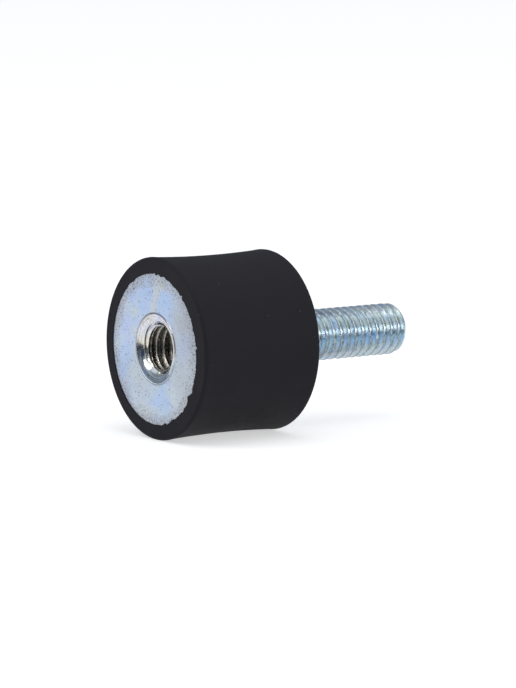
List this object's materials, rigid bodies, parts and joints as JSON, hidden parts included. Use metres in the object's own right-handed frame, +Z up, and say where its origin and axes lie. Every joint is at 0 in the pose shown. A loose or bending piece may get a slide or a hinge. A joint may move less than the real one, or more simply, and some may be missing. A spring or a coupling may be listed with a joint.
{
  "type": "bobbin vibration mount",
  "caption": "Waisted rubber cylinder bonded between steel discs, with a tapped bush in one end and a threaded stud on the other, which holds a machine and keeps its vibration in.",
  "frame": {"origin": "centre of the rubber's end face at the stud's side, on the axis", "axes": "+X along the axis, out through the stud; +Z up with the axis level"},
  "size_m": [0.0326, 0.02, 0.02],
  "materials": {
    "moulded_rubber": "matt moulded black rubber with a faint sheen",
    "zinc_plated_steel": "bright blue-white zinc plate"
  },
  "bodies": {
    "root": {"rubber_body": "moulded_rubber", "female_plate": "zinc_plated_steel", "threaded_bush": "zinc_plated_steel", "stud_plate": "zinc_plated_steel", "threaded_stud": "zinc_plated_steel"}
  },
  "joints": []
}
